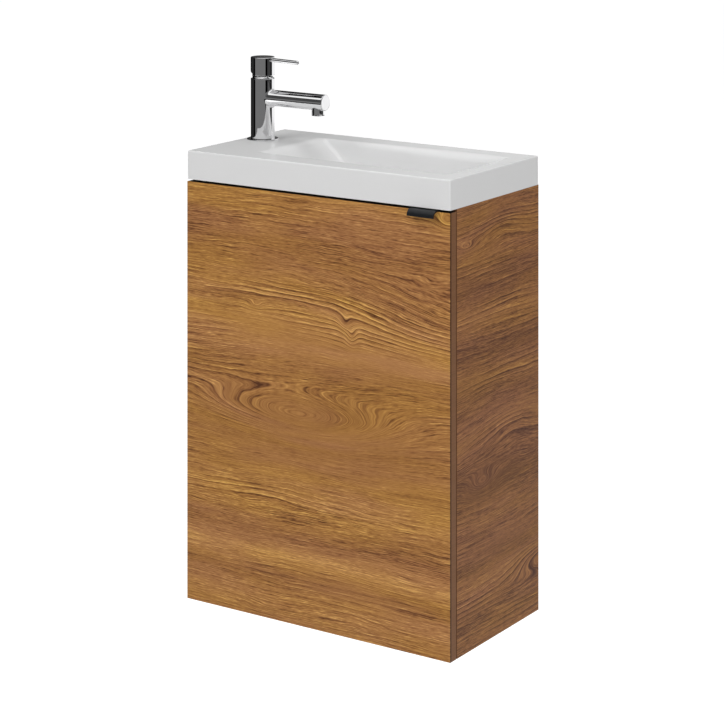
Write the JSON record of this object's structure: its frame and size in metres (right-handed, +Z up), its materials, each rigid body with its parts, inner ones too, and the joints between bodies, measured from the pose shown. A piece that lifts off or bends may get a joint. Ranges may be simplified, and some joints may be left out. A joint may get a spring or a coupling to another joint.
{
  "type": "wall-hung cloakroom vanity unit",
  "caption": "Slim wall-hung bathroom cupboard with one wood-veneer door, edge finger pull, moulded white basin with side tap deck and chrome lever mixer.",
  "frame": {"origin": "on the wall plane, at the middle of the cabinet's lower edge", "axes": "+X to the right as seen from the front, +Y into the wall, +Z up; the door faces -Y"},
  "size_m": [0.4, 0.226, 0.6915],
  "materials": {
    "door_veneer": "walnut-toned veneer, horizontal grain, satin",
    "side_veneer": "walnut-toned veneer, horizontal grain, satin",
    "carcass_board": "walnut-toned veneered board",
    "beech_dowel": "plain beech",
    "zinc_steel": "bright zinc plated",
    "nickel_hinge": "nickel plated",
    "hanger_plastic": "light grey moulded",
    "black_pull": "satin black",
    "clear_bumper": "clear silicone",
    "white_basin": "gloss white",
    "chrome": "polished",
    "rubber_seal": "black moulded",
    "brass": "machined",
    "white_trap": "white moulded",
    "grey_plastic": "grey moulded",
    "dark_steel": "blackened"
  },
  "bodies": {
    "cabinet": {"left_side_panel": "side_veneer", "right_side_panel": "side_veneer", "bottom_panel": "carcass_board", "front_rail": "carcass_board", "hanging_rail": "carcass_board", "low_back_rail": "carcass_board", "wood_dowels": "beech_dowel", "cam_fittings": "zinc_steel", "left_hanger_box": "hanger_plastic", "right_hanger_box": "hanger_plastic", "left_hanger_hook": "zinc_steel", "right_hanger_hook": "zinc_steel", "left_wall_plate": "zinc_steel", "right_wall_plate": "zinc_steel", "hanger_adjusters": "zinc_steel", "upper_hinge_plate": "nickel_hinge", "lower_hinge_plate": "nickel_hinge", "upper_hinge_arm": "nickel_hinge", "lower_hinge_arm": "nickel_hinge", "hinge_arm_pins": "nickel_hinge", "hinge_plate_screws": "zinc_steel", "basin": "white_basin", "waste_flange": "chrome", "waste_gaskets": "rubber_seal", "waste_backnut": "brass", "trap_inlet_nut": "white_trap", "trap_body": "white_trap", "trap_cup": "white_trap", "trap_outlet_nut": "white_trap", "trap_seals": "rubber_seal", "waste_pipe": "white_trap", "tap_body": "chrome", "tap_base_ring": "chrome", "tap_base_seal": "rubber_seal", "tap_spout": "chrome", "spout_end_cap": "chrome", "aerator_shell": "chrome", "aerator_insert": "grey_plastic", "tap_cartridge": "grey_plastic", "cartridge_nut": "chrome", "tap_stud": "zinc_steel", "tap_clamp_washers": "zinc_steel", "tap_stud_nut": "brass"},
    "upper_hinge_link": {"upper_hinge_link": "nickel_hinge"},
    "lower_hinge_link": {"lower_hinge_link": "nickel_hinge"},
    "door": {"door_panel": "door_veneer", "finger_pull": "black_pull", "finger_pull_screws": "black_pull", "door_bumpers": "clear_bumper", "upper_hinge_cup": "nickel_hinge", "lower_hinge_cup": "nickel_hinge", "hinge_cup_pins": "nickel_hinge", "hinge_cup_screws": "zinc_steel"},
    "tap_turn": {"stem_carrier": "brass"},
    "tap_handle": {"tap_head": "chrome", "tap_lever": "chrome", "cartridge_stem": "brass", "head_grub_screw": "dark_steel"},
    "waste_plug": {"waste_plug": "chrome", "plug_seal": "rubber_seal"}
  },
  "joints": [
    {"name": "upper_hinge_link_turn", "type": "hinge", "parent": "cabinet", "child": "upper_hinge_link", "pos_m": [-0.158, -0.192, 0.451], "axis": [0, 0, 1], "range_deg": [0, 17]},
    {"name": "lower_hinge_link_turn", "type": "hinge", "parent": "cabinet", "child": "lower_hinge_link", "pos_m": [-0.158, -0.192, 0.09], "axis": [0, 0, 1], "range_deg": [0, 17]},
    {"name": "door_swing", "type": "hinge", "parent": "upper_hinge_link", "child": "door", "pos_m": [-0.192, -0.206, 0.451], "axis": [0, 0, -1], "range_deg": [0, 122]},
    {"name": "tap_temperature_turn", "type": "hinge", "parent": "cabinet", "child": "tap_turn", "pos_m": [-0.1715, -0.089, 0.667], "axis": [0, 0, 1], "range_deg": [-45, 45]},
    {"name": "tap_lever_lift", "type": "hinge", "parent": "tap_turn", "child": "tap_handle", "pos_m": [-0.1715, -0.089, 0.667], "axis": [0, -1, 0], "range_deg": [0, 22]},
    {"name": "waste_plug_travel", "type": "slide", "parent": "cabinet", "child": "waste_plug", "axis": [0, 0, 1], "range_m": [0, 0.008]}
  ],
  "couplings": [
    {"joint": "upper_hinge_link_turn", "follows": "door_swing", "ratio": 0.1393},
    {"joint": "lower_hinge_link_turn", "follows": "door_swing", "ratio": 0.1393}
  ]
}
